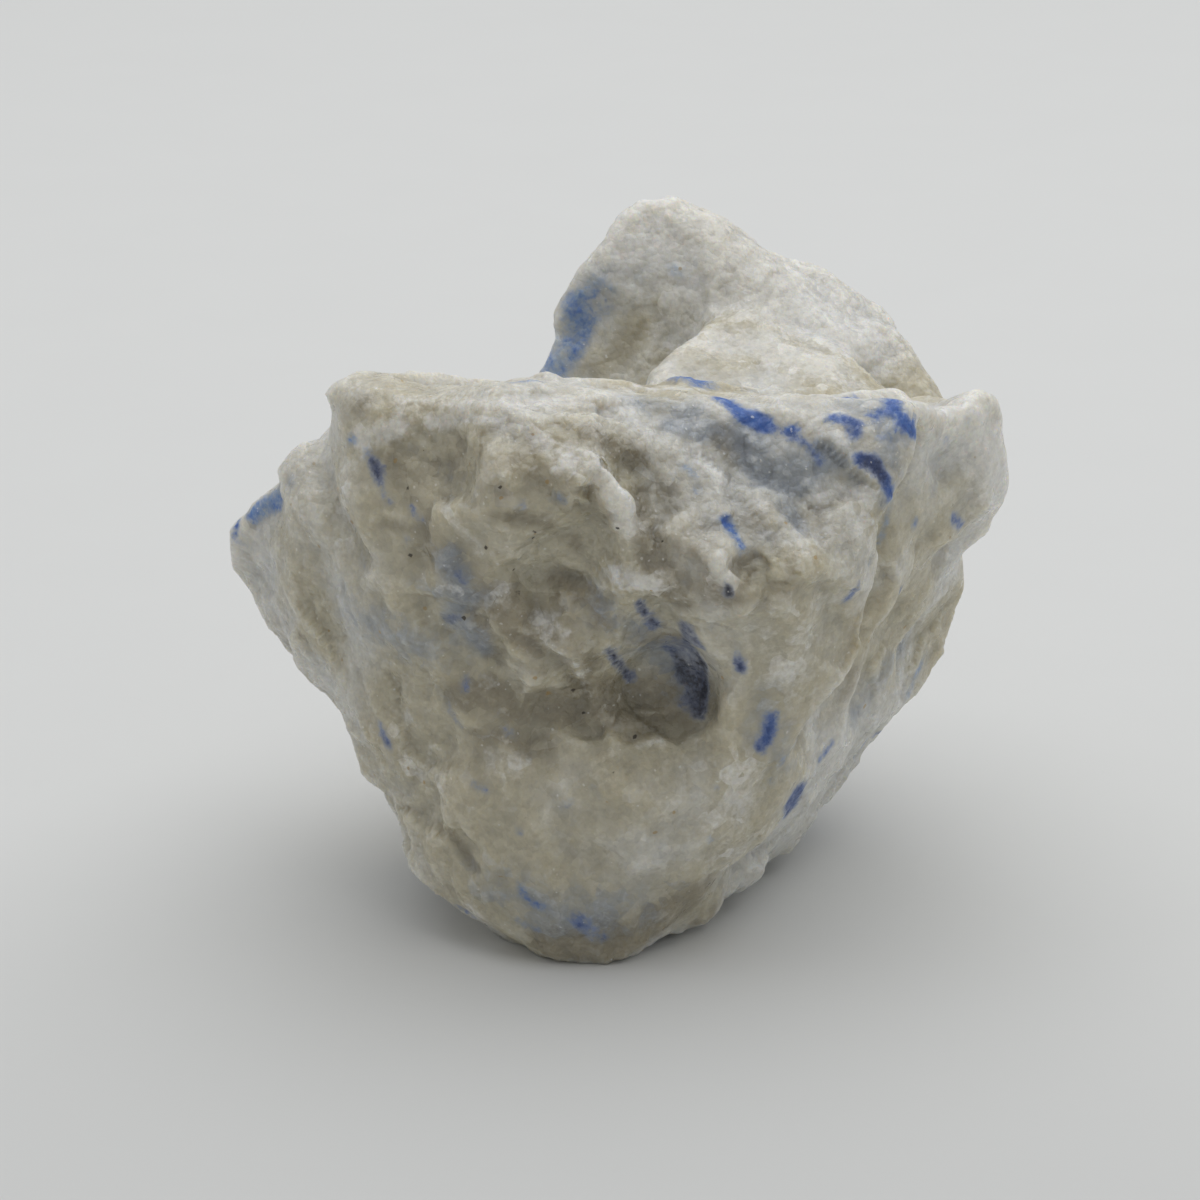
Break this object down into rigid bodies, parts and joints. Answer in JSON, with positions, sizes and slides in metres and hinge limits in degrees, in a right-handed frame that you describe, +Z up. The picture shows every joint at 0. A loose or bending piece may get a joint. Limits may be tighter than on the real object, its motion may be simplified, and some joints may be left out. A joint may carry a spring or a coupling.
{
  "type": "rough mineral stone",
  "caption": "Rough lump of milky quartz with blue dumortierite patches, narrow at the foot, wide at the top, with a flat rest underneath.",
  "frame": {"origin": "centre of the bounding box in X and Y, on the plane that the stone rests on", "axes": "+X to the right across the front, +Y back from the front face, +Z up"},
  "size_m": [0.0454, 0.0416, 0.0374],
  "materials": {
    "stone": "milky grey-cream quartz with a sugary broken surface and royal blue to navy dumortierite patches"
  },
  "bodies": {
    "root": {"stone": "stone"}
  },
  "joints": []
}
